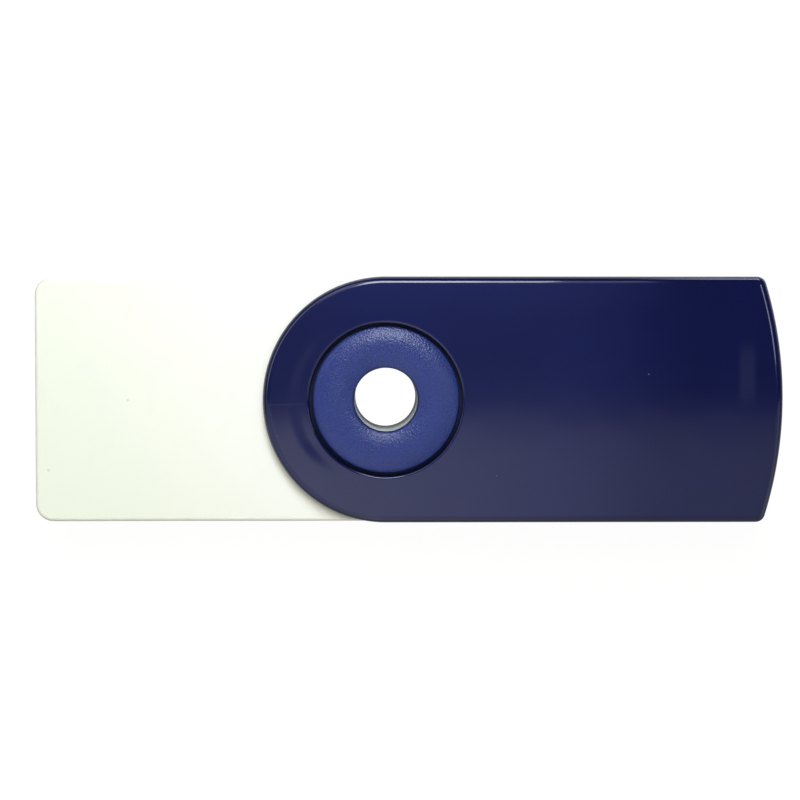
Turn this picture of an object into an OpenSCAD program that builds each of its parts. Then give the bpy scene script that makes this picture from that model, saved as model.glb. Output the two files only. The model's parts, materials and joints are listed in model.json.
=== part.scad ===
// Pocket eraser that swivels out of a U-shaped sleeve on a hollow hub.
// The swivel axis is Z. The sleeve's closed end points along +X, and the eraser is swung out along -X.

/* [Sleeve] */
// Width of the sleeve across its two open long sides
sleeve_width = 25.5; // [22:0.5:32]
// From the swivel axis to the outside of the closed end, an arc about that axis
sleeve_reach = 41.2; // [32:0.2:60]
// Thickness of the sleeve over both plates
sleeve_thickness = 14; // [11:0.5:20]
// Thickness of each plate
plate_thickness = 1.6; // [1.3:0.1:2.2]
// Thickness of the end wall that joins the plates
end_wall = 1.8; // [1.2:0.1:3]
// Rounding along the outer edges of the plates
sleeve_edge = 0.8; // [0.2:0.05:1.1]
// Corner radius of a plate's flat face beside the closed end
face_corner = 0.2; // [0.05:0.05:3]
// Rounding of the rim of each plate's hole
rim_edge = 0.2; // [0.1:0.05:0.8]

/* [Eraser] */
// Corner radius of the working end, seen from the front
eraser_corner = 1.85; // [1:0.05:4]
// Rounding along the edges of the block
eraser_edge = 0.4; // [0.1:0.05:0.9]
// How far the block's long sides lie inside the sleeve's
side_inset = 0.05; // [0:0.05:0.5]

/* [Hub] */
// Radius of the bore through the hub
hub_bore = 3.3; // [2.6:0.1:3.9]
// Wall of the bush tube
bush_wall = 1; // [0.6:0.1:1.2]
// Length of the bush's collar, which spaces the two rings
collar_length = 4.4; // [3:0.2:5]
// Outer radius of a ring's domed head
ring_radius = 7.65; // [7.2:0.05:9.2]
// Width of the groove between a ring's head and the rim of its hole
groove_width = 0.3; // [0.2:0.05:0.6]
// Height of the land at the foot of a ring's head, which runs in the plate's hole
land_height = 0.25; // [0.15:0.05:0.6]
// How far a ring's flange reaches under the plate, past the rim of the hole
flange_reach = 0.6; // [0.3:0.05:1.2]
// Thickness of the flange, which is sunk in the eraser's face
flange_height = 0.45; // [0.3:0.05:0.8]
// Wall of the skirt that each ring presses over the bush
skirt_wall = 0.95; // [0.7:0.05:1.2]
// Thickness of a ring over the end of the bush, at the bore
ring_lip = 0.8; // [0.5:0.05:1]
// Width of the rounded shoulder at the outside of a ring
outer_shoulder = 2.1; // [1:0.1:2.2]
// How far the outer shoulder falls below the crown
outer_drop = 0.55; // [0.3:0.05:0.9]
// Width of the rounded shoulder at the bore of a ring
inner_shoulder = 2; // [0.6:0.1:2]
// How far the inner shoulder falls below the crown
inner_drop = 0.4; // [0.2:0.05:0.6]
// How far a ring's crown lies below the plate's face
crown_inset = 0.1; // [0.05:0.05:0.3]

/* [Clearances] */
// Between the eraser's faces and the plates
face_clearance = 0.1; // [0.05:0.05:0.3]
// Between the eraser's corners and the end wall, with the eraser closed
end_clearance = 1.3; // [0.5:0.1:3]
// Between a ring's land and the plate's hole
hub_clearance = 0.1; // [0.05:0.01:0.15]
// Between the pieces of the hub, and between the hub and the eraser
fit_clearance = 0.05; // [0.02:0.01:0.1]

/* [Hidden] */
$fn = 96;
// How far a cutting shape runs past the face that it cuts
overcut = 1;

plate_face = sleeve_thickness / 2;
cavity_height = sleeve_thickness - 2 * plate_thickness;
cavity_reach = sleeve_reach - end_wall;
hole_radius = ring_radius + groove_width;

// The closed end's corners, each an arc that touches the long side and the end arc
sleeve_half_width = sleeve_width / 2;
sleeve_corner = face_corner + sleeve_edge;
corner_y = sleeve_half_width - sleeve_corner;
corner_x = sqrt(pow(sleeve_reach - sleeve_corner, 2) - pow(corner_y, 2));
corner_angle = atan2(corner_y, corner_x);

// The block's corners pass the end wall with their clearance as the eraser turns
eraser_thickness = cavity_height - 2 * face_clearance;
eraser_half_width = sleeve_half_width - side_inset;
eraser_corner_y = eraser_half_width - eraser_corner;
eraser_corner_reach = cavity_reach - end_clearance - eraser_corner;
eraser_flank = sqrt(pow(eraser_corner_reach, 2) - pow(eraser_corner_y, 2));

bush_radius = hub_bore + bush_wall;
skirt_inner = bush_radius + fit_clearance;
skirt_outer = skirt_inner + skirt_wall;
eraser_hole = skirt_outer + fit_clearance;

crown = plate_face - crown_inset;
eraser_face = eraser_thickness / 2;
flange_radius = hole_radius + flange_reach;
flange_seat = eraser_face - flange_height;
land_radius = hole_radius - hub_clearance;
land_top = eraser_face + land_height;
socket_floor = crown - inner_drop - ring_lip;
bush_length = 2 * (socket_floor - fit_clearance);
skirt_end = collar_length / 2 + fit_clearance;

// Radius of an arc that leaves a flat tangentially and falls by drop over width
function shoulder_radius(width, drop) = (width * width + drop * drop) / (2 * drop);

// What a rounding of the given radius takes off the corner at the origin of a square edge
module edge_notch(radius) {
    difference() {
        translate([-radius, -radius])
            square(radius + overcut);
        translate([-radius, -radius])
            circle(radius);
    }
}

// Half section of a plate-like body, from its middle out to reach, with both outer edges rounded
module edge_section(reach, thickness, edge) {
    difference() {
        translate([0, -thickness / 2])
            square([reach, thickness]);
        for (side = [0, 1])
            mirror([0, side])
                translate([reach, thickness / 2])
                    edge_notch(edge);
    }
}

// A bar along +X from the origin, with all four long edges rounded
module edged_bar(length, half_width, thickness, edge) {
    rotate([90, 0, 90])
        linear_extrude(length)
            for (side = [0, 1])
                mirror([side, 0])
                    edge_section(half_width, thickness, edge);
}

// The sleeve's outer form, before it is hollowed
module sleeve_form() {
    rotate_extrude(angle = 180, start = 90)
        edge_section(sleeve_half_width, sleeve_thickness, sleeve_edge);
    edged_bar(corner_x, sleeve_half_width, sleeve_thickness, sleeve_edge);
    rotate_extrude(angle = 2 * corner_angle, start = -corner_angle)
        edge_section(sleeve_reach, sleeve_thickness, sleeve_edge);
    for (side = [0, 1])
        mirror([0, side, 0])
            translate([corner_x, corner_y, 0])
                rotate_extrude(angle = 90 - corner_angle, start = corner_angle)
                    edge_section(sleeve_corner, sleeve_thickness, sleeve_edge);
}

// What the rounding of a hole's rim takes off the upper plate
module rim_cut() {
    rotate_extrude()
        translate([hole_radius, plate_face])
            mirror([1, 0])
                edge_notch(rim_edge);
}

module sleeve() {
    color("#1b2050")
        difference() {
            sleeve_form();
            cylinder(r = cavity_reach, h = cavity_height, center = true);
            cylinder(r = hole_radius, h = sleeve_thickness + 2 * overcut, center = true);
            for (side = [0, 1])
                mirror([0, 0, side])
                    rim_cut();
        }
}

// The block's outer form: a round end on the swivel axis, flat flanks and a square working end
module eraser_form() {
    rotate_extrude(angle = 180, start = -90)
        edge_section(eraser_half_width, eraser_thickness, eraser_edge);
    mirror([1, 0, 0])
        edged_bar(eraser_flank, eraser_half_width, eraser_thickness, eraser_edge);
    translate([-eraser_flank, -eraser_corner_y, 0])
        rotate([90, 0, 180])
            linear_extrude(2 * eraser_corner_y)
                edge_section(eraser_corner, eraser_thickness, eraser_edge);
    for (side = [0, 1])
        mirror([0, side, 0])
            translate([-eraser_flank, eraser_corner_y, 0])
                rotate_extrude(angle = 90, start = 90)
                    edge_section(eraser_corner, eraser_thickness, eraser_edge);
}

module eraser_block() {
    color("#f6fbee")
        difference() {
            eraser_form();
            cylinder(r = eraser_hole, h = eraser_thickness + 2 * overcut, center = true);
            for (side = [0, 1])
                mirror([0, 0, side])
                    translate([0, 0, flange_seat - fit_clearance])
                        cylinder(r = flange_radius + fit_clearance, h = flange_height + fit_clearance + overcut);
        }
}

module hub_bush() {
    color("#cfd5d8")
        difference() {
            union() {
                cylinder(r = bush_radius, h = bush_length, center = true);
                cylinder(r = skirt_outer, h = collar_length, center = true);
            }
            cylinder(r = hub_bore, h = bush_length + 2 * overcut, center = true);
        }
}

// What one rounded shoulder takes off a ring's half section, outwards from where the crown ends
module shoulder_notch(width, drop) {
    radius = shoulder_radius(width, drop);
    // Deeper than the shoulder, so that its arc crosses the ring's wall instead of ending on it
    depth = 1.2 * drop;
    difference() {
        translate([0, -depth])
            square([width + overcut, depth + overcut]);
        translate([0, -radius])
            circle(radius);
    }
}

// Half section of a ring: a domed head, its land, a flange sunk in the eraser's face, and a skirt in its hole
module ring_section() {
    difference() {
        polygon([
            [hub_bore, socket_floor],
            [skirt_inner, socket_floor],
            [skirt_inner, skirt_end],
            [skirt_outer, skirt_end],
            [skirt_outer, flange_seat],
            [flange_radius, flange_seat],
            [flange_radius, eraser_face],
            [land_radius, eraser_face],
            [land_radius, land_top],
            [ring_radius, land_top],
            [ring_radius, crown],
            [hub_bore, crown]
        ]);
        translate([ring_radius - outer_shoulder, crown])
            shoulder_notch(outer_shoulder, outer_drop);
        translate([hub_bore + inner_shoulder, crown])
            mirror([1, 0])
                shoulder_notch(inner_shoulder, inner_drop);
    }
}

module front_hub_ring() {
    color("#3c477e")
        rotate_extrude()
            ring_section();
}

module back_hub_ring() {
    color("#3c477e")
        mirror([0, 0, 1])
            rotate_extrude()
                ring_section();
}

sleeve();
eraser_block();
hub_bush();
front_hub_ring();
back_hub_ring();
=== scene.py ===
# A white eraser block that swivels out of a navy U-shaped sleeve on a hollow blue hub.
import json
import math

import bmesh
import bpy
from bpy.props import FloatProperty, FloatVectorProperty, IntProperty, PointerProperty
from mathutils import Matrix, Vector


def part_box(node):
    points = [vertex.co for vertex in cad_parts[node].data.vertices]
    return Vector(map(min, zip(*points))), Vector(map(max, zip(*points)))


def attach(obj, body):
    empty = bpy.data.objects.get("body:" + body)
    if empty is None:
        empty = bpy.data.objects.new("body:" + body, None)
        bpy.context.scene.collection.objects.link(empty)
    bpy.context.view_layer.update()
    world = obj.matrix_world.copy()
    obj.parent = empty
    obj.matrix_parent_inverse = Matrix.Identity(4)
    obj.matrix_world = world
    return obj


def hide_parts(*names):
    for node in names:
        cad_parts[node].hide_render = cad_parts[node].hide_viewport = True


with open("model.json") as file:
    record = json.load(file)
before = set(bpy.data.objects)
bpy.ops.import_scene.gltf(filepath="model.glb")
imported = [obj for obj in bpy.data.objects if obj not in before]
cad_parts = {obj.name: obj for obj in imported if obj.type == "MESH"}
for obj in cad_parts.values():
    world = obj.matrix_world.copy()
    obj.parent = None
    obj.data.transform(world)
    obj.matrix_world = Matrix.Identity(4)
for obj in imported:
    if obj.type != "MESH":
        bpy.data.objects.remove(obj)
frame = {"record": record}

bl_info = {
    "name": "Swivel Eraser",
    "version": (1, 0, 0),
    "blender": (4, 5, 0),
    "location": "View3D > Sidebar > Swivel Eraser",
    "description": "Dresses a swivel eraser: its sleeve, block and hub, and a plain studio around it",
    "category": "Object",
}

MM = 0.001
# Width of the narrow loops that keep a flat face flat beside its roundings
HOLDING = 0.05 * MM
# Points of a turned piece that lie closer than this are one point
SEAM = 0.001 * MM
# Edges of a turned piece that are sharper than this stay sharp to the eye
SHARP_ANGLE = math.radians(50)
WHITE = (1.0, 1.0, 1.0)
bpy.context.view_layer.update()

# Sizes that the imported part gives: the swivel axis is Z, through the origin
SLEEVE_LOW, SLEEVE_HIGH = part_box("sleeve")
BLOCK_LOW, BLOCK_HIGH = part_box("eraser_block")
RING_LOW, RING_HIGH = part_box("front_hub_ring")
_, BUSH_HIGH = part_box("hub_bush")
BORE_RADIUS = frame["record"]["mounts"][0]["dims"]["r_mm"] * MM

# Place of each lamp, then its width and height, in metres
KEY_LAMP = (0.0045, 0.0940, 0.1260), (0.0530, 0.0600)
KEY_HEART = (0.0000, 0.0935, 0.1255), (0.0360, 0.0600)
KEY_SKIRT = (-0.0040, 0.0945, 0.1265), (0.1060, 0.0640)
FILL_LAMP = (-0.060, 0.300, 0.720), (0.320, 0.320)
SIDE_LAMP = (0.190, 0.035, 0.340), (0.060, 0.080)

# The floor lies just under the part, and reaches this far from it each way
FLOOR_REACH = 2.0
FLOOR_GAP = 0.01 * MM


def length(name, description, default):
    """A length property, in metres"""
    return FloatProperty(
        name=name, description=description, default=default, min=0.0, unit="LENGTH", precision=5
    )


def position(name, description, default):
    """A position along an axis, in metres"""
    return FloatProperty(name=name, description=description, default=default, unit="LENGTH", precision=5)


def colour(name, description, default):
    """A colour property, in linear light"""
    return FloatVectorProperty(
        name=name, description=description, default=default, min=0.0, max=1.0, size=3, subtype="COLOR"
    )


def level(name, description, default):
    """A plain number property"""
    return FloatProperty(name=name, description=description, default=default, min=0.0, precision=3)


class SleeveSettings(bpy.types.PropertyGroup):
    """Sizes and colours of the sleeve"""

    end_wall: length("End Wall", "Thickness of the wall that joins the plates", 1.8 * MM)
    edge_round: length("Edge Rounding", "Rounding along the outer edges of the plates", 0.8 * MM)
    face_corner: length("Face Corner", "Corner radius of the flat face beside the closed end", 0.2 * MM)
    rim_round: length("Rim Rounding", "Rounding of the rim of each plate's hole", 0.2 * MM)
    face_gap: length("Face Gap", "Gap between a plate and the block's face", 0.1 * MM)
    inner_edge: length("Inner Edge", "Rounding of the plates' inner edges", 0.14 * MM)
    navy: colour("Navy", "Colour of the gloss plastic", (0.0020, 0.0042, 0.0455))
    # The dust colour also paints the faint reflection near the closed end
    dust: colour("Dust", "Colour of the fine dust on the gloss plastic", (0.13, 0.14, 0.22))


class BlockSettings(bpy.types.PropertyGroup):
    """Sizes and colours of the eraser block"""

    corner: length("Corner", "Corner radius of the working end, seen from the front", 1.85 * MM)
    edge_round: length("Edge Rounding", "Rounding along the edges of the block", 0.4 * MM)
    wave_size: length("Wave Size", "Breadth of the soft unevenness of the faces", 7.0 * MM)
    wave_depth: length("Wave Depth", "Depth of the soft unevenness of the faces", 0.02 * MM)
    white: colour("White", "Colour of the vinyl", (0.950, 0.945, 0.920))
    # Painted shade: the greyer colour that the vinyl is mixed to towards its working corner, away from the
    # near lamp
    shaded_white: colour("Worn", "Colour of the vinyl towards its working corner", (0.872, 0.918, 0.806))
    grey: colour("Grey", "Colour of specks and handling marks", (0.50, 0.56, 0.50))


class HubSettings(bpy.types.PropertyGroup):
    """Sizes and colours of the hub's rings and bush"""

    outer_shoulder: length("Outer Shoulder", "Width of a ring's outer rounded shoulder", 2.1 * MM)
    outer_drop: length("Outer Drop", "Fall of the outer shoulder below the crown", 0.55 * MM)
    inner_shoulder: length("Inner Shoulder", "Width of a ring's rounded shoulder at the bore", 2.0 * MM)
    inner_drop: length("Inner Drop", "Fall of the inner shoulder below the crown", 0.4 * MM)
    groove: length("Groove", "Width of the groove between a ring's head and the rim of its hole", 0.3 * MM)
    running_gap: length("Running Gap", "Gap between a ring's land and the plate's hole", 0.1 * MM)
    land_height: length("Land Height", "Height of the land that runs in the plate's hole", 0.25 * MM)
    flange_reach: length("Flange Reach", "How far a ring's flange reaches under the plate", 0.6 * MM)
    flange_height: length("Flange Height", "Thickness of the flange, sunk in the block's face", 0.45 * MM)
    outer_edge: length("Outer Edge", "Rounding where the outer shoulder meets the ring's flank", 0.30 * MM)
    bore_edge: length("Bore Edge", "Rounding where the inner shoulder meets the bore", 0.40 * MM)
    lip: length("Lip", "Thickness of a ring over the end of the bush", 0.8 * MM)
    bush_wall: length("Bush Wall", "Wall of the bush tube", 1.0 * MM)
    bush_chamfer: length("Bush Chamfer", "Chamfer at the ends of the bush tube", 0.15 * MM)
    fit: length("Fit", "Clearance between the hub's pieces and around them", 0.05 * MM)
    segments: IntProperty(name="Segments", description="Steps around the swivel axis", default=720, min=24)
    grain_size: length("Grain Size", "Breadth of the spark-eroded grain", 0.16 * MM)
    grain_depth: length("Grain Depth", "Depth of the spark-eroded grain", 0.040 * MM)
    blue: colour("Blue", "Colour of the rings", (0.0145, 0.0290, 0.150))
    pale: colour("Pale", "Colour of the bush", (0.56, 0.60, 0.62))


class StageSettings(bpy.types.PropertyGroup):
    """Camera, lamps and surroundings"""

    camera_height: length("Camera Height", "Height of the camera above the front plate", 197 * MM)
    camera_x: position("Camera X", "Camera's place along the part", -1.0 * MM)
    camera_y: position("Camera Y", "Camera's place across the part", 7.0 * MM)
    aim_x: position("Aim X", "Where the camera looks, along the front plate", 1.46 * MM)
    aim_y: position("Aim Y", "Where the camera looks, across the front plate", -0.005 * MM)
    lens: FloatProperty(name="Lens", description="Focal length in millimetres", default=85.98, min=1.0)
    room: level("Room", "Light of the dim room", 0.09)
    panel: level("Panel", "Light of the pale panel towards -Y, at its brightest", 1.2)
    key: level("Key", "Radiance of the near lamp on the +Y side", 8.4)
    heart: level("Heart", "Radiance that the middle of the near lamp adds", 4.8)
    skirt: level("Skirt", "Radiance of the dim light around the near lamp", 1.5)
    fill: level("Fill", "Radiance of the soft lamp high above the part", 8.0)
    side: level("Side", "Radiance of the lamp beyond the closed end", 4.8)
    cool: colour("Cool", "Colour of the near lamp and the lamp beyond the closed end", (0.86, 0.91, 1.0))
    warm: colour("Warm", "Colour of the soft lamp, and of the panel on matte faces", (1.0, 0.98, 0.82))
    bluish: colour("Bluish", "Colour of the room's lights that only gloss shows", (0.163, 0.203, 0.635))


class SwivelEraserSettings(bpy.types.PropertyGroup):
    """All settings of the swivel eraser"""

    sleeve: PointerProperty(type=SleeveSettings)
    block: PointerProperty(type=BlockSettings)
    hub: PointerProperty(type=HubSettings)
    stage: PointerProperty(type=StageSettings)


class Value:
    """A socket of a node tree, on which Python arithmetic adds Math nodes"""

    def __init__(self, graph, socket):
        self.graph = graph
        self.socket = socket

    def __add__(self, other):
        return self.graph.math("ADD", self, other)

    __radd__ = __add__

    def __sub__(self, other):
        return self.graph.math("SUBTRACT", self, other)

    def __rsub__(self, other):
        return self.graph.math("SUBTRACT", other, self)

    def __mul__(self, other):
        return self.graph.math("MULTIPLY", self, other)

    __rmul__ = __mul__

    def __truediv__(self, other):
        return self.graph.math("DIVIDE", self, other)

    def __rtruediv__(self, other):
        return self.graph.math("DIVIDE", other, self)

    def __pow__(self, other):
        return self.graph.math("POWER", self, other)

    def __abs__(self):
        return self.graph.math("ABSOLUTE", self)

    def __gt__(self, other):
        return self.graph.math("GREATER_THAN", self, other)

    def at_most(self, other):
        return self.graph.math("MINIMUM", self, other)

    def at_least(self, other):
        return self.graph.math("MAXIMUM", self, other)

    def ramp(self, low, high):
        """0 at low and 1 at high, with a smooth step between; low may be the larger"""
        if low > high:
            return 1 - self.ramp(high, low)
        settings = {"interpolation_type": "SMOOTHSTEP"}
        return self.graph.node("ShaderNodeMapRange", settings, {0: self, 1: low, 2: high})["Result"]


class Node:
    """A node of a tree, whose outputs are read by name or place"""

    def __init__(self, graph, node):
        self.graph = graph
        self.node = node

    def __getitem__(self, key):
        return Value(self.graph, self.node.outputs[key])


class Graph:
    """Adds nodes to one node tree"""

    def __init__(self, tree):
        self.tree = tree
        tree.nodes.clear()

    def node(self, kind, settings=None, inputs=None):
        """Adds a node of the given type, sets its settings, then fills or links its sockets"""
        made = self.tree.nodes.new(kind)
        for name, value in (settings or {}).items():
            setattr(made, name, value)
        for key, value in (inputs or {}).items():
            if isinstance(value, Value):
                self.tree.links.new(value.socket, made.inputs[key])
            else:
                made.inputs[key].default_value = value
        return Node(self, made)

    def math(self, operation, *operands):
        """A Math node on values and numbers"""
        return self.node("ShaderNodeMath", {"operation": operation}, dict(enumerate(operands)))["Value"]

    def mix(self, factor, first, second):
        """A colour between two colours"""
        settings = {"data_type": "RGBA", "clamp_factor": True}
        return self.node("ShaderNodeMix", settings, {0: factor, 6: rgba(first), 7: rgba(second)})[2]

    def times(self, vector, factor):
        """A vector multiplied by a number or a value"""
        inputs = {0: vector, "Scale": factor}
        return self.node("ShaderNodeVectorMath", {"operation": "SCALE"}, inputs)["Vector"]

    def stretch(self, vector, *factors):
        """A vector with each axis multiplied by its own number"""
        inputs = {0: vector, 1: factors}
        return self.node("ShaderNodeVectorMath", {"operation": "MULTIPLY"}, inputs)["Vector"]

    def axes(self, vector):
        """A vector's three numbers"""
        parts = self.node("ShaderNodeSeparateXYZ", None, {0: vector})
        return parts["X"], parts["Y"], parts["Z"]

    def millimetres(self):
        """Place on the part, in millimetres"""
        return self.times(self.node("ShaderNodeTexCoord")["Object"], 1 / MM)

    def noise(self, vector, scale, detail=2.0):
        """Smooth noise from 0 to 1"""
        inputs = {"Vector": vector, "Scale": scale, "Detail": detail}
        return self.node("ShaderNodeTexNoise", None, inputs)["Fac"]

    def specks(self, vector, spacing, radius, share):
        """1 on scattered specks, one in each cell of the spacing; a larger share keeps more of them"""
        cells = self.node("ShaderNodeTexVoronoi", None, {"Vector": vector, "Scale": 1 / spacing})
        kept = cells["Color"] > 1 - share
        return kept * (cells["Distance"] * spacing).ramp(radius, 0.4 * radius)

    def surface(self, inputs, height):
        """A Principled shader whose normal follows a height in millimetres, wired to the output"""
        bump = self.node("ShaderNodeBump", None, {"Strength": 1.0, "Distance": MM, "Height": height})
        shader = self.node("ShaderNodeBsdfPrincipled", None, {**inputs, "Normal": bump["Normal"]})
        self.node("ShaderNodeOutputMaterial", None, {"Surface": shader["BSDF"]})

    def glowing(self, matte, glow, strength):
        """A matte shader with a glow of its own"""
        diffuse = self.node("ShaderNodeBsdfDiffuse", None, {"Color": rgba(matte)})["BSDF"]
        light = {"Color": rgba(glow), "Strength": strength}
        emission = self.node("ShaderNodeEmission", None, light)["Emission"]
        return self.node("ShaderNodeAddShader", None, {0: diffuse, 1: emission})["Shader"]

    def sample(self, piece, index, kind, value):
        """The value of the given type that a piece has at a point"""
        inputs = {"Geometry": piece, "Value": value, "Index": index}
        return self.node("GeometryNodeSampleIndex", {"data_type": kind}, inputs)["Value"]

    def displaced(self, piece, noise, depth):
        """A piece whose skin a noise moves along its normals, by up to the depth either way"""
        normal = self.node("GeometryNodeInputNormal")["Normal"]
        offset = self.times(normal, (noise - 0.5) * 2.0 * depth)
        return self.node("GeometryNodeSetPosition", None, {"Geometry": piece, "Offset": offset})["Geometry"]

    def hand_over(self, piece, material):
        """Ends a geometry tree: instances are made real and the material is set"""
        real = self.node("GeometryNodeRealizeInstances", None, {"Geometry": piece})["Geometry"]
        inputs = {"Geometry": real, "Material": material}
        painted = self.node("GeometryNodeSetMaterial", None, inputs)["Geometry"]
        self.node("NodeGroupOutput", None, {"Piece": painted})


def rgba(value):
    """A colour with its alpha, or a socket as it is"""
    if isinstance(value, Value):
        return value
    return (*value, 1.0)


def scaled(value, factor):
    """A colour made lighter or darker"""
    return tuple(factor * part for part in value)


def grey(value):
    """A grey of the given lightness"""
    return (value, value, value)


def new_finish(name):
    """An empty node material and the graph to fill it with"""
    material = bpy.data.materials.new(name)
    material.use_nodes = True
    return material, Graph(material.node_tree)


def navy_gloss(sleeve):
    """Polished navy plastic with the marks of its moulding and of wear, and a painted reflection near the
    closed end, placed in millimetres
    """
    material, graph = new_finish("navy_gloss")
    place = graph.millimetres()
    x, y, z = graph.axes(place)
    face = SLEEVE_HIGH.z / MM
    # Slow changes of the colour and of the surface's height
    drift = graph.noise(place, 0.09)
    wave = graph.noise(place, 0.13, detail=1.0)
    # Dust on the faces, and hair scratches along the part
    dust = graph.specks(place, spacing=3.6, radius=0.12, share=0.35) * abs(z).ramp(face - 0.3, face - 0.05)
    scratch = graph.noise(graph.stretch(place, 0.25, 5.0, 5.0), 1.0, detail=3.0).ramp(0.66, 0.78)
    # A weld line from the hole to the round end, a little aslant
    from_weld = abs(y - 0.0215 * x + 0.18)
    weld = x.ramp(-8.2, -8.8) * from_weld.ramp(0.20, 0.0)
    # A shallow sink around the hole, on the round end's side
    from_axis = (x * x + y * y) ** 0.5
    beside = x.ramp(0.0, -6.0) * y.ramp(-9.0, -4.0) * y.ramp(9.0, 3.0)
    sink = from_axis.ramp(10.25, 8.75) * beside
    # A painted reflection near the closed end: a faint, lighter streak in the dust colour
    streak = abs(x - 37.4).ramp(1.2, 0.4) * y.ramp(-1.5, 1.5) * y.ramp(6.8, 4.0)
    base = graph.mix(drift.ramp(0.3, 0.7), scaled(sleeve.navy, 0.92), scaled(sleeve.navy, 1.10))
    # Dust specks, and the streak of painted reflection, are both mixed in the dust colour
    base = graph.mix((dust * 0.6).at_least(streak * 0.055), base, sleeve.dust)
    rough = 0.060 + 0.025 * drift + 0.05 * scratch + 0.22 * dust + 0.02 * weld
    height = 0.013 * wave - 0.021 * sink - 0.0004 * scratch + 0.004 * dust + 0.0004 * weld
    graph.surface({"Base Color": base, "Roughness": rough, "IOR": 1.5}, height)
    return material


def eroded_blue(hub):
    """Blue plastic from a spark-eroded mould: a fine sparkling grain on the face, and smooth flanks painted
    darker as painted shade in the groove
    """
    material, graph = new_finish("eroded_blue")
    place = graph.millimetres()
    x, _, _ = graph.axes(place)
    face = graph.node("ShaderNodeAttribute", {"attribute_name": "grain"})["Fac"]
    grain = graph.noise(place, 6.5)
    coarse = graph.noise(place, 3.2, detail=1.0)
    cloud = graph.noise(place, 0.5)
    base = graph.mix(grain.ramp(0.3, 0.7), scaled(hub.blue, 0.74), scaled(hub.blue, 1.30))
    base = graph.mix(cloud.ramp(0.35, 0.75) * 0.25, base, scaled(hub.blue, 1.2))
    # Painted shade: the smooth flanks and the land, down in the groove, are painted far darker than the
    # grained face
    base = graph.mix(face, scaled(hub.blue, 0.15), base)
    rough = 0.53 - 0.22 * face + 0.10 * grain
    # The rings sit slightly askew, which shows only in the light on them
    askew = 0.022 * x
    height = face * (0.010 * grain + 0.008 * coarse) + askew
    graph.surface({"Base Color": base, "Roughness": rough, "IOR": 1.5}, height)
    return material


def white_vinyl(block):
    """Matte white vinyl: painted shade greys it towards its working corner, with handling marks, specks and
    shallow pits
    """
    material, graph = new_finish("white_vinyl")
    place = graph.millimetres()
    x, y, _ = graph.axes(place)
    cloud = graph.noise(place, 0.07, detail=3.0)
    # Painted shade: a greyer colour towards the lower left, away from the lamps, in place of their falloff
    falloff_shade = (6.0 * cloud - 0.85 * x - 0.55 * y).ramp(5.0, 37.0)
    streak = graph.noise(graph.stretch(place, 1.0, 0.4, 1.0), 0.35, detail=4.0).ramp(0.55, 0.85)
    coarse = graph.specks(place, spacing=5.5, radius=0.20, share=0.35)
    fine = graph.specks(place, spacing=1.7, radius=0.09, share=0.30)
    base = graph.mix(falloff_shade, block.white, block.shaded_white)
    base = graph.mix(streak * 0.06, base, block.grey)
    base = graph.mix((coarse * 0.40).at_least(fine * 0.16), base, block.grey)
    rough = 0.58 + 0.14 * cloud - 0.08 * streak
    skin = graph.noise(place, 3.0, detail=3.0)
    height = 0.006 * skin - 0.030 * coarse - 0.012 * fine
    graph.surface({"Base Color": base, "Roughness": rough, "IOR": 1.46}, height)
    return material


def pale_plastic(hub):
    """Plain pale plastic of the bush, with faint draw marks along its axis"""
    material, graph = new_finish("pale_plastic")
    place = graph.millimetres()
    draw = graph.noise(graph.stretch(place, 2.5, 2.5, 0.12), 1.0, detail=3.0)
    base = graph.mix(draw.ramp(0.3, 0.7), scaled(hub.pale, 0.93), scaled(hub.pale, 1.05))
    graph.surface({"Base Color": base, "Roughness": 0.34 + 0.12 * draw, "IOR": 1.5}, 0.004 * draw)
    return material


class Outline:
    """A closed plan outline, counter-clockwise, as points and their outward directions"""

    def __init__(self, step):
        self.step = step
        self.points = []
        self.normals = []

    def line(self, start, end):
        """A straight side, without its last point"""
        start, end = Vector(start), Vector(end)
        run = end - start
        normal = Vector((run.y, -run.x)).normalized()
        count = max(1, round(run.length / self.step))
        for i in range(count):
            self.points.append(start + run * (i / count))
            self.normals.append(normal)

    def arc(self, centre, radius, start, end, steps):
        """An arc between two angles, without its last point"""
        for i in range(steps):
            angle = start + (end - start) * i / steps
            normal = Vector((math.cos(angle), math.sin(angle)))
            self.points.append(Vector(centre) + normal * radius)
            self.normals.append(normal)

    def moved_in(self, distance):
        """The outline's points, moved inwards"""
        return [p - n * distance for p, n in zip(self.points, self.normals)]

    def on_circle(self, radius):
        """Where rays from the swivel axis to the outline's points cross a circle about that axis"""
        return [p.normalized() * radius for p in self.points]


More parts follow.
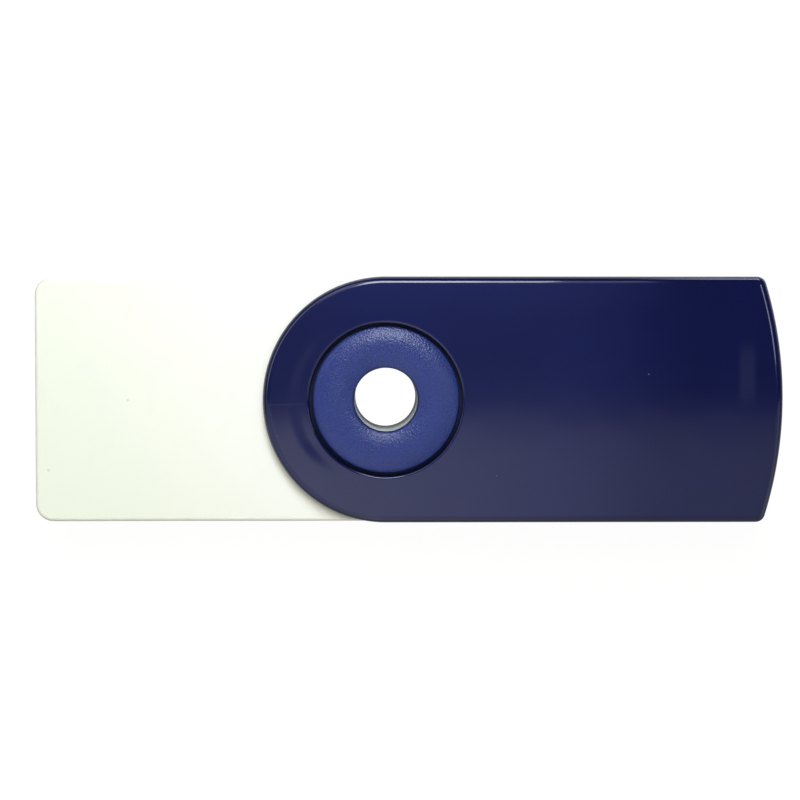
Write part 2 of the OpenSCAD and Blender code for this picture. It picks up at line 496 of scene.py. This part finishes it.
class Shell:
    """A mesh grown loop by loop"""

    def __init__(self):
        self.mesh = bmesh.new()

    def loop(self, points, height):
        """A loop of vertices at one height"""
        return [self.mesh.verts.new((p[0], p[1], height)) for p in points]

    def bridge(self, first, second, span=None):
        """Quads between two loops, all round or over a span of their segments"""
        count = len(first)
        for i in span or range(count):
            j = (i + 1) % count
            self.mesh.faces.new((first[i], first[j], second[j], second[i]))

    def skin(self, loops):
        """Quads between each loop and the next"""
        for first, second in zip(loops, loops[1:]):
            self.bridge(first, second)

    def between(self, first, second, start, end, steps):
        """Loops that lead evenly from one set of points and height to another, without either end"""
        loops = []
        for i in range(1, steps):
            t = i / steps
            points = [a.lerp(b, t) for a, b in zip(first, second)]
            loops.append(self.loop(points, start + (end - start) * t))
        return loops

    def bevel(self, edges, width):
        """Rounds the given edges, each a pair of vertices, once all faces are turned outwards"""
        found = [self.mesh.edges.get(pair) for pair in edges]
        bmesh.ops.recalc_face_normals(self.mesh, faces=self.mesh.faces)
        bmesh.ops.bevel(
            self.mesh,
            geom=found,
            offset=width,
            offset_type="OFFSET",
            segments=3,
            profile=0.5,
            affect="EDGES",
        )

    def to_mesh(self, name):
        """The finished mesh, its faces turned outwards"""
        bmesh.ops.recalc_face_normals(self.mesh, faces=self.mesh.faces)
        mesh = bpy.data.meshes.new(name)
        self.mesh.to_mesh(mesh)
        self.mesh.free()
        return mesh


def quarter(radius, steps):
    """How far a rounding has gone in and up at each of its steps, from its wall to its face"""
    angles = [math.pi / 2 * i / steps for i in range(steps + 1)]
    return [(radius * (1 - math.cos(a)), radius * math.sin(a)) for a in angles]


def new_object(name, mesh):
    """An object at the origin, in the scene"""
    made = bpy.data.objects.new(name, mesh)
    bpy.context.scene.collection.objects.link(made)
    return made


def settled(source, name):
    """A plain-mesh object in place of one with modifiers"""
    graph = bpy.context.evaluated_depsgraph_get()
    mesh = bpy.data.meshes.new_from_object(source.evaluated_get(graph))
    mesh.name = name
    old = source.data
    bpy.data.objects.remove(source)
    bpy.data.meshes.remove(old)
    return new_object(name, mesh)


def place_piece(piece, body, node):
    """The piece rides on its body and stands for its node, whose part is hidden"""
    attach(piece, body)
    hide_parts(node)


def with_flat_faces(piece):
    """The piece with its normals weighted by area, so that flats stay flat beside their roundings"""
    piece.data.shade_smooth()
    weighted = piece.modifiers.new("flat_faces", "WEIGHTED_NORMAL")
    weighted.weight = 90
    weighted.keep_sharp = True
    return settled(piece, piece.name)


def hole_radius(hub):
    """Radius of the hole in each plate, which a ring's flange reaches past"""
    return RING_HIGH.x - hub.flange_reach


def sleeve_outline(sleeve):
    """The sleeve's plan, from the cavity's mouth on the +Y side, and the place where its end wall begins"""
    half = SLEEVE_HIGH.y
    reach = SLEEVE_HIGH.x
    corner = sleeve.face_corner + sleeve.edge_round
    corner_y = half - corner
    corner_x = math.sqrt((reach - corner) ** 2 - corner_y**2)
    turn = math.atan2(corner_y, corner_x)
    mouth = math.sqrt((reach - sleeve.end_wall) ** 2 - half**2)
    plan = Outline(step=0.45 * MM)
    plan.line((mouth, half), (0, half))
    plan.arc((0, 0), half, math.pi / 2, 1.5 * math.pi, steps=120)
    plan.line((0, -half), (mouth, -half))
    wall_begins = len(plan.points)
    plan.line((mouth, -half), (corner_x, -half))
    plan.arc((corner_x, -corner_y), corner, -math.pi / 2, -turn, steps=12)
    plan.arc((0, 0), reach, -turn, turn, steps=48)
    plan.arc((corner_x, corner_y), corner, turn, math.pi / 2, steps=12)
    plan.line((corner_x, half), (mouth, half))
    return plan, wall_begins


def add_plate(shell, plan, wall_begins, sleeve, hub, way):
    """A holed plate, at the front for way 1 or the back for -1: its side and mouth loops and inner edges"""
    face = SLEEVE_HIGH.z
    inside = BLOCK_HIGH.z + sleeve.face_gap
    hole = hole_radius(hub)
    hole_loops = [shell.loop(plan.on_circle(hole), way * inside)]
    for inward, up in quarter(sleeve.rim_round, steps=6):
        height = way * (face - sleeve.rim_round + up)
        hole_loops.append(shell.loop(plan.on_circle(hole + inward), height))
    edge_loops = []
    for inward, up in quarter(sleeve.edge_round, steps=10):
        height = way * (face - sleeve.edge_round + up)
        edge_loops.append(shell.loop(plan.moved_in(inward), height))
    rim = plan.on_circle(hole + sleeve.rim_round + HOLDING)
    flat = plan.moved_in(sleeve.edge_round + HOLDING)
    face_loops = [shell.loop(rim, way * face)]
    face_loops += shell.between(rim, flat, way * face, way * face, steps=14)
    face_loops.append(shell.loop(flat, way * face))
    side = shell.loop(plan.points, way * inside)
    shell.skin(hole_loops + face_loops + edge_loops[::-1] + [side])
    # Inside, the plate ends at the end wall's inner face
    wall_face = plan.on_circle(SLEEVE_HIGH.x - sleeve.end_wall)[wall_begins + 1 :]
    mouth = side[: wall_begins + 1] + shell.loop(wall_face, way * inside)
    mouth_points = plan.points[: wall_begins + 1] + wall_face
    inner_loops = shell.between(plan.on_circle(hole), mouth_points, way * inside, way * inside, steps=10)
    shell.skin([hole_loops[0]] + inner_loops + [mouth])
    inner_edges = [(side[i], side[i + 1]) for i in range(wall_begins)]
    inner_edges += zip(hole_loops[0], hole_loops[0][1:] + hole_loops[0][:1])
    return side, mouth, inner_edges


def sleeve_mesh(sleeve, hub):
    """The sleeve: two holed plates, joined by the end wall"""
    plan, wall_begins = sleeve_outline(sleeve)
    shell = Shell()
    front_side, front_mouth, front_edges = add_plate(shell, plan, wall_begins, sleeve, hub, 1)
    back_side, back_mouth, back_edges = add_plate(shell, plan, wall_begins, sleeve, hub, -1)
    wall = range(wall_begins, len(plan.points))
    shell.bridge(front_side, back_side, wall)
    shell.bridge(front_mouth, back_mouth, wall)
    wall_edges = [(front_side[i], back_side[i]) for i in (0, wall_begins)]
    shell.bevel(front_edges + back_edges + wall_edges, sleeve.inner_edge)
    return shell.to_mesh("sleeve_moulding")


def block_outline(block):
    """The block's plan: round about the swivel axis at one end, square with rounded corners at the other"""
    half = BLOCK_HIGH.y
    end = BLOCK_LOW.x
    flank = end + block.corner
    corner_y = half - block.corner
    plan = Outline(step=0.5 * MM)
    plan.arc((0, 0), half, -math.pi / 2, math.pi / 2, steps=110)
    plan.line((0, half), (flank, half))
    plan.arc((flank, corner_y), block.corner, math.pi / 2, math.pi, steps=16)
    plan.line((end, corner_y), (end, -corner_y))
    plan.arc((flank, -corner_y), block.corner, math.pi, 1.5 * math.pi, steps=16)
    plan.line((flank, -half), (0, -half))
    return plan


def block_mesh(block, hub):
    """The block: two faces, each with a recess for a ring's flange, a hole for the hub, and rounded edges"""
    plan = block_outline(block)
    face = BLOCK_HIGH.z
    floor = face - hub.flange_height - hub.fit
    shell = Shell()
    hole = plan.on_circle(BUSH_HIGH.x + hub.fit)
    recess = plan.on_circle(RING_HIGH.x + hub.fit)
    held = plan.moved_in(block.edge_round + HOLDING)
    flank_height = face - block.edge_round
    holes, rims = [], []
    for way in (1, -1):
        hole_loop = shell.loop(hole, way * floor)
        face_loops = [shell.loop(recess, way * floor), shell.loop(recess, way * face)]
        face_loops += shell.between(recess, held, way * face, way * face, steps=40)
        face_loops.append(shell.loop(held, way * face))
        edge_loops = []
        for inward, up in quarter(block.edge_round, steps=6):
            edge_loops.append(shell.loop(plan.moved_in(inward), way * (flank_height + up)))
        shell.skin([hole_loop] + face_loops + edge_loops[::-1])
        holes.append(hole_loop)
        rims.append(edge_loops[0])
    flank_loops = shell.between(plan.points, plan.points, flank_height, -flank_height, steps=14)
    shell.skin([rims[0]] + flank_loops + [rims[1]])
    shell.skin([holes[0], holes[1]])
    return shell.to_mesh("eraser_blank")


def new_tree(name, inputs):
    """A geometry tree that takes a piece and the given inputs, by name and type, and the tree's graph"""
    tree = bpy.data.node_groups.new(name, "GeometryNodeTree")
    for socket, kind in {"Piece": "Geometry", **inputs}.items():
        tree.interface.new_socket(socket, in_out="INPUT", socket_type=f"NodeSocket{kind}")
    tree.interface.new_socket("Piece", in_out="OUTPUT", socket_type="NodeSocketGeometry")
    return tree, Graph(tree)


def uneven_tree():
    """Geometry nodes that give a soft piece's skin its slow unevenness"""
    inputs = {"Wave Size": "Float", "Wave Depth": "Float", "Material": "Material"}
    tree, graph = new_tree("Soft Unevenness", inputs)
    given = graph.node("NodeGroupInput")
    place = graph.node("GeometryNodeInputPosition")["Position"]
    wave = graph.noise(place, 1 / given["Wave Size"], detail=1.0)
    uneven = graph.displaced(given["Piece"], wave, given["Wave Depth"])
    graph.hand_over(uneven, given["Material"])
    return tree


def lathe_tree():
    """Geometry nodes that turn a profile about the swivel axis and grain the part of it that is marked"""
    inputs = {
        "Segments": "Int",
        "Grain Size": "Float",
        "Grain Depth": "Float",
        "Seed": "Float",
        "Material": "Material",
    }
    tree, graph = new_tree("Grained Lathe", inputs)
    given = graph.node("NodeGroupInput")
    profile = given["Piece"]
    place = graph.node("GeometryNodeInputPosition")["Position"]
    mark = graph.node("GeometryNodeInputNamedAttribute", {"data_type": "FLOAT"}, {"Name": "grain"})
    # A sheet with a column of points for each point of the profile
    count = graph.node("GeometryNodeAttributeDomainSize", None, {"Geometry": profile})["Point Count"]
    rows = given["Segments"] + 1
    sheet = {"Size X": 1.0, "Size Y": 1.0, "Vertices X": count, "Vertices Y": rows}
    grid = graph.node("GeometryNodeMeshGrid", None, sheet)["Mesh"]
    along, around, _ = graph.axes(place)
    index = graph.math("ROUND", (along + 0.5) * (count - 1))
    grain_mark = graph.sample(profile, index, "FLOAT", mark["Attribute"])
    storing = {"Geometry": grid, "Name": "grain", "Value": grain_mark}
    marked = graph.node("GeometryNodeStoreNamedAttribute", {"data_type": "FLOAT"}, storing)["Geometry"]
    # The sheet is wound about the axis, and its seams are closed
    radius, _, height = graph.axes(graph.sample(profile, index, "FLOAT_VECTOR", place))
    angle = (around + 0.5) * math.tau
    turn = {"X": radius * graph.math("COSINE", angle), "Y": radius * graph.math("SINE", angle), "Z": height}
    turned = graph.node("ShaderNodeCombineXYZ", None, turn)["Vector"]
    wound = graph.node("GeometryNodeSetPosition", None, {"Geometry": marked, "Position": turned})["Geometry"]
    closing = {"Geometry": wound, "Distance": SEAM}
    closed = graph.node("GeometryNodeMergeByDistance", None, closing)["Geometry"]
    # The marked part is grained, and the seed sets one ring's grain apart from the other's
    pattern = {"Vector": place, "W": given["Seed"], "Scale": 1 / given["Grain Size"], "Detail": 1.0}
    grain = graph.node("ShaderNodeTexNoise", {"noise_dimensions": "4D"}, pattern)["Fac"]
    grained = graph.displaced(closed, grain, given["Grain Depth"] * mark["Attribute"])
    graph.hand_over(grained, given["Material"])
    return tree


def through_nodes(piece, tree, inputs):
    """The plain mesh that a tree makes of a piece, with the tree's inputs set by name"""
    modifier = piece.modifiers.new(tree.name, "NODES")
    modifier.node_group = tree
    for socket in tree.interface.items_tree:
        if socket.in_out == "INPUT" and socket.name in inputs:
            modifier[socket.identifier] = inputs[socket.name]
    return settled(piece, piece.name)


def profile_object(name, points):
    """A closed profile of (radius, height, grain) points, as loose vertices with a grain attribute"""
    mesh = bpy.data.meshes.new(name)
    closed = points + points[:1]
    mesh.from_pydata([(r, 0.0, z) for r, z, _ in closed], [], [])
    grain = mesh.attributes.new("grain", "FLOAT", "POINT")
    for datum, (_, _, value) in zip(grain.data, closed):
        datum.value = value
    return new_object(name, mesh)


def shoulder_arc(width, drop, edge, steps, edge_steps):
    """Points of a ring's shoulder from the crown to the wall: how far out, how far down, and grain"""
    wall_grain = 0.2
    radius = (width**2 + drop**2) / (2 * drop)
    turned = math.asin((width - edge) / (radius - edge))
    angles = [turned * i / steps for i in range(steps + 1)]
    points = [(radius * math.sin(a), radius * (1 - math.cos(a)), 1.0) for a in angles]
    centre_down = radius - (radius - edge) * math.cos(turned)
    for i in range(1, edge_steps + 1):
        t = i / edge_steps
        a = turned + (math.pi / 2 - turned) * t
        out = width - edge + edge * math.sin(a)
        points.append((out, centre_down - edge * math.cos(a), 1 - (1 - wall_grain) * t))
    return points


def ring_profile(hub):
    """A front ring's half section, outwards over the dome from the bore, then back under it"""
    crown = RING_HIGH.z
    flange = RING_HIGH.x
    hole = hole_radius(hub)
    land = hole - hub.running_gap
    outer = hole - hub.groove
    face = BLOCK_HIGH.z
    seat = face - hub.flange_height
    skirt = BORE_RADIUS + hub.bush_wall + hub.fit
    socket = crown - hub.inner_drop - hub.lip
    inner_land = BORE_RADIUS + hub.inner_shoulder
    outer_land = outer - hub.outer_shoulder
    inner_arc = shoulder_arc(hub.inner_shoulder, hub.inner_drop, hub.bore_edge, steps=28, edge_steps=8)
    outer_arc = shoulder_arc(hub.outer_shoulder, hub.outer_drop, hub.outer_edge, steps=32, edge_steps=8)
    points = [(BORE_RADIUS, socket, 0.0)]
    points += [(inner_land - out, crown - down, grain) for out, down, grain in inner_arc[:0:-1]]
    crown_steps = 4
    for i in range(crown_steps + 1):
        points.append((inner_land + (outer_land - inner_land) * i / crown_steps, crown, 1.0))
    points += [(outer_land + out, crown - down, grain) for out, down, grain in outer_arc[1:]]
    foot = [
        (outer, face + hub.land_height),
        (land, face + hub.land_height),
        (land, face),
        (flange, face),
        (flange, seat),
        (BUSH_HIGH.x, seat),
        (BUSH_HIGH.x, RING_LOW.z),
        (skirt, RING_LOW.z),
        (skirt, socket),
    ]
    return points + [(r, z, 0.0) for r, z in foot]


def bush_profile(hub):
    """The bush's half section: a tube with a collar round its middle"""
    end = BUSH_HIGH.z
    radius = BORE_RADIUS + hub.bush_wall
    collar = RING_LOW.z - hub.fit
    chamfer = hub.bush_chamfer
    half = [
        (BORE_RADIUS, 0.0),
        (BORE_RADIUS, end - chamfer),
        (BORE_RADIUS + chamfer, end),
        (radius - chamfer, end),
        (radius, end - chamfer),
        (radius, collar),
        (BUSH_HIGH.x, collar),
    ]
    lower = [(r, -z) for r, z in half[:0:-1]]
    return [(r, z, 0.0) for r, z in half + lower]


def turned_piece(name, points, hub, seed, material):
    """A piece turned from a profile, with its normals outwards"""
    inputs = {
        "Segments": hub.segments,
        "Grain Size": hub.grain_size,
        "Grain Depth": hub.grain_depth,
        "Seed": seed,
        "Material": material,
    }
    tree = bpy.data.node_groups.get("Grained Lathe") or lathe_tree()
    piece = through_nodes(profile_object(name, points), tree, inputs)
    mesh = bmesh.new()
    mesh.from_mesh(piece.data)
    bmesh.ops.recalc_face_normals(mesh, faces=mesh.faces)
    mesh.to_mesh(piece.data)
    mesh.free()
    piece.data.shade_smooth()
    piece.data.set_sharp_from_angle(angle=SHARP_ANGLE)
    return piece


class SWIVEL_ERASER_OT_sleeve(bpy.types.Operator):
    """Make the moulded sleeve: two plates joined by the curved end wall"""

    bl_idname = "swivel_eraser.sleeve"
    bl_label = "Make Sleeve"

    def execute(self, context):
        settings = context.scene.swivel_eraser
        sleeve = settings.sleeve
        piece = new_object("sleeve_moulding", sleeve_mesh(sleeve, settings.hub))
        piece.data.materials.append(navy_gloss(sleeve))
        piece = with_flat_faces(piece)
        place_piece(piece, "sleeve", "sleeve")
        return {"FINISHED"}


class SWIVEL_ERASER_OT_block(bpy.types.Operator):
    """Make the white eraser block"""

    bl_idname = "swivel_eraser.block"
    bl_label = "Make Block"

    def execute(self, context):
        settings = context.scene.swivel_eraser
        block = settings.block
        piece = new_object("eraser_vinyl", block_mesh(block, settings.hub))
        piece.data.shade_smooth()
        inputs = {
            "Wave Size": block.wave_size,
            "Wave Depth": block.wave_depth,
            "Material": white_vinyl(block),
        }
        piece = with_flat_faces(through_nodes(piece, uneven_tree(), inputs))
        place_piece(piece, "eraser", "eraser_block")
        return {"FINISHED"}


class SWIVEL_ERASER_OT_bush(bpy.types.Operator):
    """Make the pale bush through the hub"""

    bl_idname = "swivel_eraser.bush"
    bl_label = "Make Bush"

    def execute(self, context):
        hub = context.scene.swivel_eraser.hub
        piece = turned_piece("hub_tube", bush_profile(hub), hub, 0.0, pale_plastic(hub))
        place_piece(piece, "eraser", "hub_bush")
        return {"FINISHED"}


class SWIVEL_ERASER_OT_rings(bpy.types.Operator):
    """Make the two grained rings at the ends of the hub"""

    bl_idname = "swivel_eraser.rings"
    bl_label = "Make Rings"

    def execute(self, context):
        hub = context.scene.swivel_eraser.hub
        material = eroded_blue(hub)
        for name, way, seed in (("front", 1, 0.0), ("back", -1, 7.0)):
            points = [(r, way * z, grain) for r, z, grain in ring_profile(hub)]
            piece = turned_piece(f"{name}_ring", points, hub, seed, material)
            place_piece(piece, "eraser", f"{name}_hub_ring")
        return {"FINISHED"}


def aim(thing, target, up):
    """Turns a camera or lamp to look at a point, with the given direction upwards in its view"""
    ahead = (Vector(target) - thing.location).normalized()
    right = ahead.cross(Vector(up)).normalized()
    upward = right.cross(ahead)
    thing.rotation_euler = Matrix((right, upward, -ahead)).transposed().to_euler()


def softbox(name, lamp, radiance, tint):
    """A rectangular lamp, given by its place and size, that faces the front of the hub"""
    place, (width, height) = lamp
    data = bpy.data.lights.new(name, "AREA")
    data.shape = "RECTANGLE"
    data.size = width
    data.size_y = height
    data.energy = radiance * math.pi * width * height
    data.color = tint
    made = new_object(name, data)
    made.location = place
    aim(made, (0, 0, SLEEVE_HIGH.z), (0, 0, 1))
    return made


def pale_floor():
    """Pale floor: white to the eye, with the part's soft shadow on it, and grey for light and gloss"""
    material, graph = new_finish("pale_floor")
    path = graph.node("ShaderNodeLightPath")
    place = graph.millimetres()
    x, y, _ = graph.axes(place)
    # To the eye it mostly glows, so that a shadow stays faint, and it glows whiter still under the bore,
    # painted light that lifts the shade that falls there
    under_bore = (x * x + y * y).ramp(60.0, 20.0)
    pale = graph.mix(graph.noise(place, 0.02), grey(0.08), grey(0.09))
    seen = graph.glowing(pale, graph.mix(under_bore, grey(0.955), WHITE), 1.0)
    # For light and gloss it is darker beyond the working end, and on the -Y side, where the darkening is a
    # painted shadow of the part
    clear = (0.25 + 0.75 * x.ramp(-44.0, -36.0)) * (0.53 + 0.47 * y.ramp(5.0, 25.0))
    dim = graph.mix(clear, grey(0.0), grey(0.85))
    unseen = graph.glowing(dim, dim, 0.25)
    inputs = {0: path["Is Camera Ray"], 1: unseen, 2: seen}
    floor = graph.node("ShaderNodeMixShader", None, inputs)["Shader"]
    graph.node("ShaderNodeOutputMaterial", None, {"Surface": floor})
    return material


def new_floor():
    """The floor that the part lies on"""
    mesh = bpy.data.meshes.new("floor")
    height = SLEEVE_LOW.z - FLOOR_GAP
    corners = ((-1, -1), (1, -1), (1, 1), (-1, 1))
    mesh.from_pydata([(x * FLOOR_REACH, y * FLOOR_REACH, height) for x, y in corners], [], [(0, 1, 2, 3)])
    mesh.materials.append(pale_floor())
    return new_object("floor", mesh)


def studio_world(stage):
    """White to the eye; for light and gloss a dim room, a pale panel towards -Y and lights for gloss alone"""
    world = bpy.data.worlds.new("studio")
    world.use_nodes = True
    bpy.context.scene.world = world
    graph = Graph(world.node_tree)
    path = graph.node("ShaderNodeLightPath")
    seen = path["Is Camera Ray"].at_least(path["Is Transmission Ray"])
    unseen = 1 - seen
    glossy = path["Is Glossy Ray"]
    # Directions, and their slopes away from straight up
    x, y, z = graph.axes(graph.node("ShaderNodeTexCoord")["Generated"])
    rise = z.at_least(0.02)
    slope_x = x / rise
    slope_y = y / rise
    across = x / (1 - x * x).at_least(0.01) ** 0.5
    away = x.ramp(0.0, -0.4)
    low = y.ramp(0.0, -0.3)
    flat_on = z.ramp(0.25, 0.5)
    upright = z.ramp(0.86, 0.97)
    # The panel: dimmer towards +X but for its far end, slanted at its upper edge, weaker in leaning gloss
    brightest = 1.2
    dimmest = 0.49 + 0.5 * x.ramp(0.5, 0.95)
    fall = (1.07 - 3.9 * across).at_least(dimmest).at_most(brightest) / brightest
    slant = 0.018 * slope_x.at_least(0.0) - 0.06 * slope_x.at_most(0.0).at_least(-0.06)
    lit = fall * (flat_on * (slope_y + slant).ramp(-0.033, -0.056) + (1 - flat_on) * low)
    shaded = (0.08 + (0.7 - 0.4 * low) * away) * z.ramp(0.997, 0.93)
    panel = lit * (glossy * (1 - shaded) + (1 - glossy) * 0.4)
    # Lights for gloss alone: the panel's bluish tinge, a band and a faint glow on the -X side towards +Y,
    # a narrow light low towards +Y, and the sky overhead, which is brighter towards +Y
    tinge = (0.3 + 1.0 * away * flat_on) * (1 - upright) + 0.6 * x.ramp(0.06, 0.2) * upright
    band = z.ramp(0.46, 0.54) * z.ramp(0.68, 0.60) * x.ramp(0.1, -0.3) * y.ramp(-0.10, 0.16)
    glow = x.ramp(0.0, -0.3) * y.ramp(-0.1, 0.2) * z.ramp(0.95, 0.85)
    strip = x.ramp(0.135, 0.168) * x.ramp(0.42, 0.28)
    horizon = strip * y.ramp(0.35, 0.7) * (z - 1.4 * x).ramp(0.06, -0.06)
    sky = upright * slope_x.ramp(0.175, 0.085) * (0.65 + 0.35 * slope_x.ramp(-0.075, -0.03))
    rising = 1 + 0.6 * slope_y.ramp(0.006, 0.024) + 1.5 * slope_y.ramp(0.04, 0.35)
    plain_gloss = 0.25 * glow + 1.8 * band + 5.0 * horizon
    bluish_gloss = sky * rising + lit * tinge + 5.6 * band + 3.6 * horizon
    lights = (
        (WHITE, seen + unseen * (stage.room + glossy * plain_gloss)),
        (graph.mix(glossy, stage.warm, WHITE), unseen * stage.panel * panel),
        (stage.bluish, unseen * glossy * bluish_gloss),
    )
    shaders = []
    for tint, strength in lights:
        inputs = {"Color": rgba(tint), "Strength": strength}
        shaders.append(graph.node("ShaderNodeBackground", None, inputs)["Background"])
    total = shaders[0]
    for shader in shaders[1:]:
        total = graph.node("ShaderNodeAddShader", None, {0: total, 1: shader})["Shader"]
    graph.node("ShaderNodeOutputWorld", None, {"Surface": total})


def new_camera(stage):
    """The camera above the front plate"""
    data = bpy.data.cameras.new("camera")
    data.lens = stage.lens
    data.sensor_width = 36.0
    data.clip_start = 1.0 * MM
    camera = new_object("camera", data)
    face = SLEEVE_HIGH.z
    camera.location = (stage.camera_x, stage.camera_y, face + stage.camera_height)
    aim(camera, (stage.aim_x, stage.aim_y, face), (0, 1, 0))
    return camera


class SWIVEL_ERASER_OT_stage(bpy.types.Operator):
    """Make the floor, the lamps, the surroundings and the camera"""

    bl_idname = "swivel_eraser.stage"
    bl_label = "Make Stage"

    def execute(self, context):
        scene = context.scene
        stage = scene.swivel_eraser.stage
        new_floor()
        studio_world(stage)
        softbox("key_lamp", KEY_LAMP, stage.key, stage.cool)
        softbox("key_heart", KEY_HEART, stage.heart, stage.cool)
        softbox("key_skirt", KEY_SKIRT, stage.skirt, stage.cool)
        fill = softbox("fill_lamp", FILL_LAMP, stage.fill, stage.warm)
        fill.visible_glossy = False
        softbox("side_lamp", SIDE_LAMP, stage.side, stage.cool)
        scene.camera = new_camera(stage)
        scene.view_settings.view_transform = "Standard"
        return {"FINISHED"}


class SWIVEL_ERASER_PT_panel(bpy.types.Panel):
    """Settings and steps of the swivel eraser"""

    bl_label = "Swivel Eraser"
    bl_idname = "SWIVEL_ERASER_PT_panel"
    bl_space_type = "VIEW_3D"
    bl_region_type = "UI"
    bl_category = "Swivel Eraser"

    def draw(self, context):
        settings = context.scene.swivel_eraser
        for group in (settings.sleeve, settings.block, settings.hub, settings.stage):
            box = self.layout.box()
            for name in group.__annotations__:
                box.prop(group, name)
        for operator in OPERATORS:
            self.layout.operator(operator.bl_idname)


GROUPS = (SleeveSettings, BlockSettings, HubSettings, StageSettings, SwivelEraserSettings)
OPERATORS = (
    SWIVEL_ERASER_OT_sleeve,
    SWIVEL_ERASER_OT_block,
    SWIVEL_ERASER_OT_bush,
    SWIVEL_ERASER_OT_rings,
    SWIVEL_ERASER_OT_stage,
)
CLASSES = (*GROUPS, *OPERATORS, SWIVEL_ERASER_PT_panel)


def register():
    for made in CLASSES:
        bpy.utils.register_class(made)
    bpy.types.Scene.swivel_eraser = PointerProperty(type=SwivelEraserSettings)


def unregister():
    del bpy.types.Scene.swivel_eraser
    for made in reversed(CLASSES):
        bpy.utils.unregister_class(made)


def main():
    register()
    bpy.ops.swivel_eraser.sleeve()
    bpy.ops.swivel_eraser.block()
    bpy.ops.swivel_eraser.bush()
    bpy.ops.swivel_eraser.rings()
    bpy.ops.swivel_eraser.stage()


if __name__ == "__main__":
    main()
